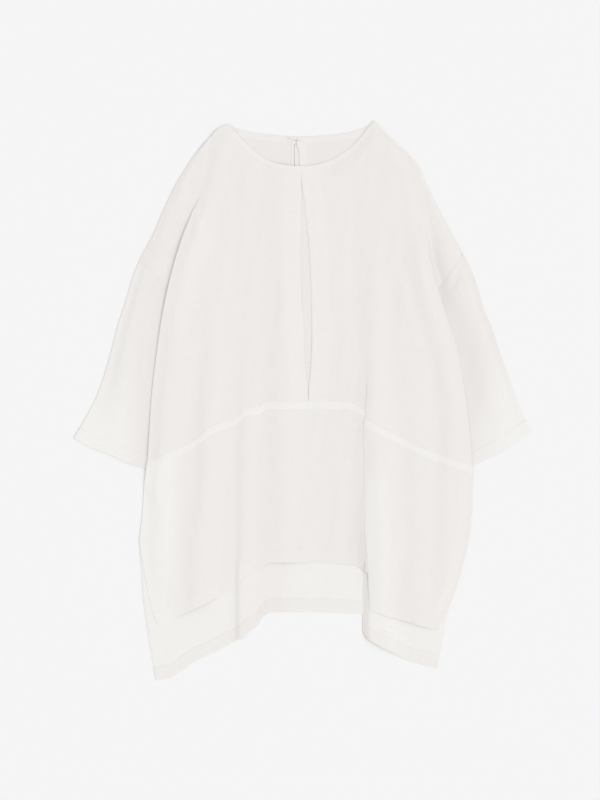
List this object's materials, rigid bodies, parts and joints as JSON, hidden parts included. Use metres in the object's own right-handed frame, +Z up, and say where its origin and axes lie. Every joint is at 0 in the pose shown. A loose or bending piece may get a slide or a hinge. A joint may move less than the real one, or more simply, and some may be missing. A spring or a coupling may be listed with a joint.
{
  "type": "tunic top",
  "caption": "Loose tunic top laid flat, with wide sleeves, a round neck slit at the front and the back, a waist band and a back hem lower than the front's.",
  "frame": {"origin": "middle of the outline, on the surface that the garment lies on", "axes": "+Z up, from the garment's back to its front, +Y towards the neck, +X towards the right of the picture"},
  "size_m": [0.735, 0.8925, 0.0154],
  "materials": {
    "linen": "matt plain weave",
    "doubled_linen": "matt plain weave, two layers",
    "hook_metal": "drawn wire"
  },
  "bodies": {
    "root": {"back_panel": "linen", "front_left": "linen", "front_right": "linen", "front_skirt": "linen", "sleeve_left": "linen", "sleeve_right": "linen", "waist_band": "doubled_linen", "neck_binding_front": "doubled_linen", "neck_facing_left": "doubled_linen", "neck_facing_right": "doubled_linen", "back_slit_hem_left": "doubled_linen", "back_slit_hem_right": "doubled_linen", "slit_facing_left": "doubled_linen", "slit_facing_right": "doubled_linen", "hook": "hook_metal", "eye": "hook_metal"}
  },
  "joints": []
}
